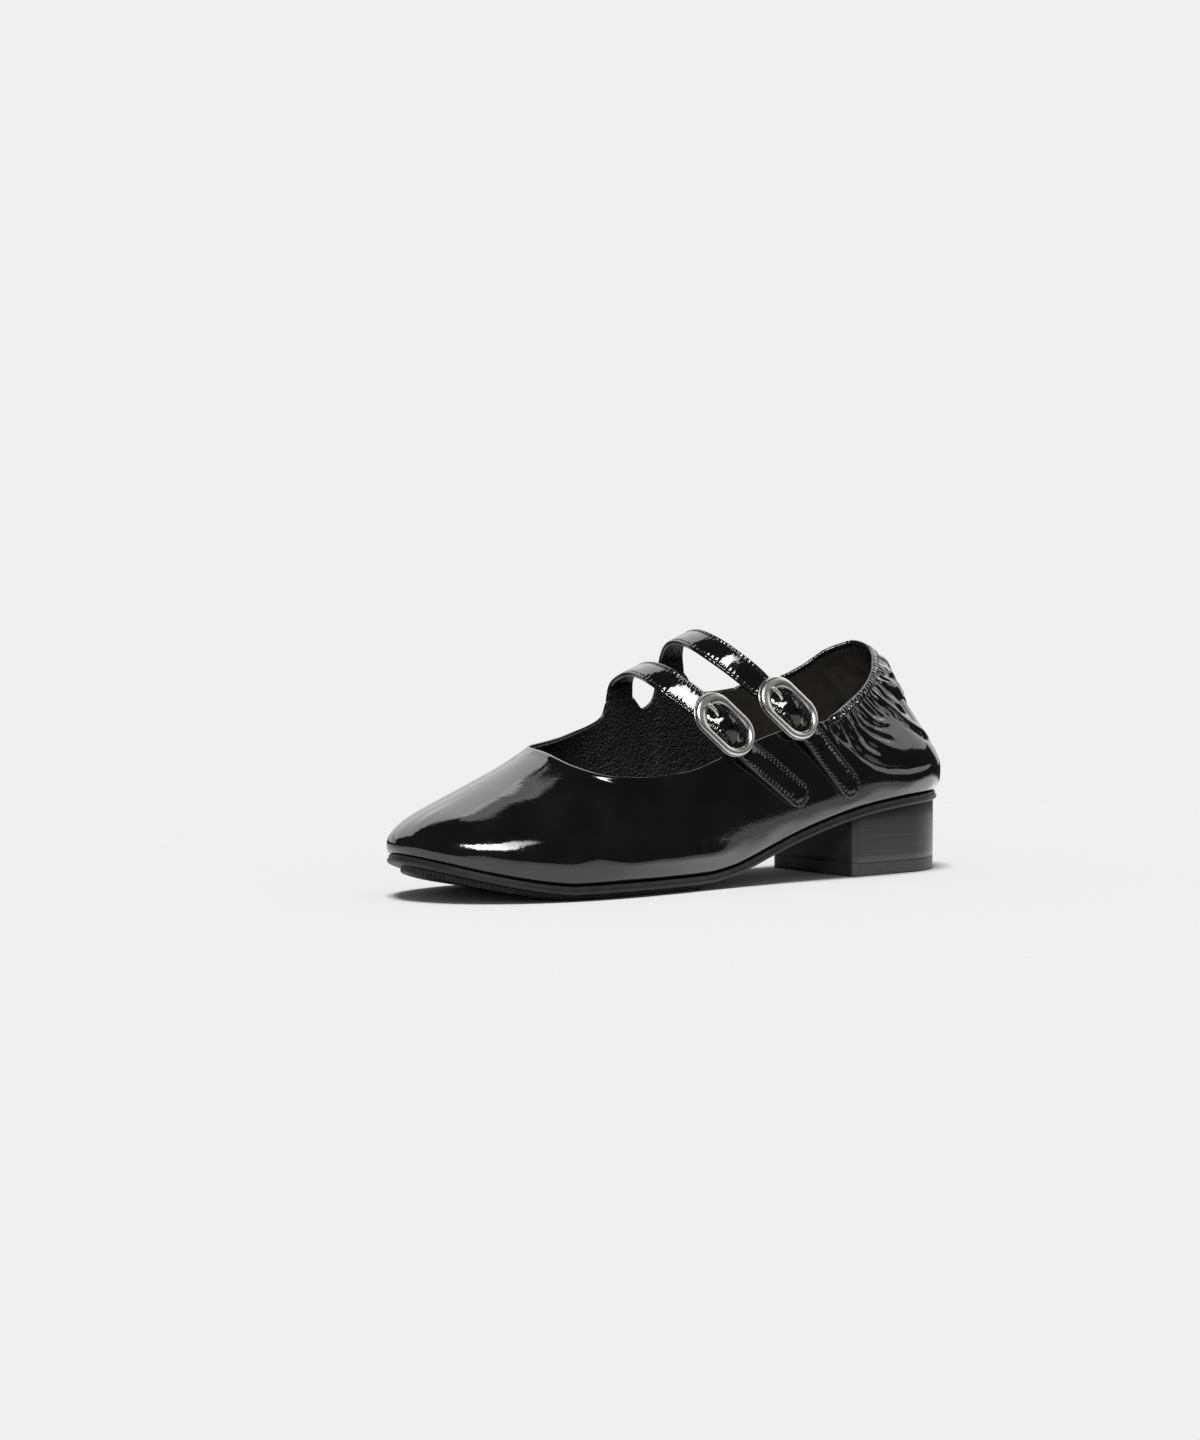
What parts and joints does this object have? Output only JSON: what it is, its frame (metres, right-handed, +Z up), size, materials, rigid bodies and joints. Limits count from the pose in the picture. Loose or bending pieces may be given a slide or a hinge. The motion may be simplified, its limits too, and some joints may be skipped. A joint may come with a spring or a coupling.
{
  "type": "double-strap mary jane shoe",
  "caption": "Mary jane shoe with a low block heel, glossy upper, gathered heel collar and buckled straps over the instep.",
  "frame": {"origin": "on the floor under the middle of the shoe's box", "axes": "+Z up, toe towards -X, outer (lateral, buckle) side towards -Y"},
  "size_m": [0.2448, 0.0792, 0.0946],
  "materials": {
    "patent_leather": "high gloss",
    "lining_leather": "matt",
    "insole_leather": "fine grain, soft sheen",
    "sole_rubber": "satin",
    "stacked_heel": "layered, satin",
    "buckle_metal": "satin nickel",
    "elastic": "ribbed",
    "thread": "waxed"
  },
  "bodies": {
    "root": {"outsole": "sole_rubber", "forefoot_pad": "sole_rubber", "heel_block": "stacked_heel", "heel_top_lift": "sole_rubber", "insole": "insole_leather", "upper": "patent_leather", "strap_front": "patent_leather", "strap_rear": "patent_leather", "buckle_front": "buckle_metal", "buckle_rear": "buckle_metal", "buckle_prong_front": "buckle_metal", "buckle_prong_rear": "buckle_metal", "elastic_tab_front": "elastic", "elastic_tab_rear": "elastic"}
  },
  "joints": []
}
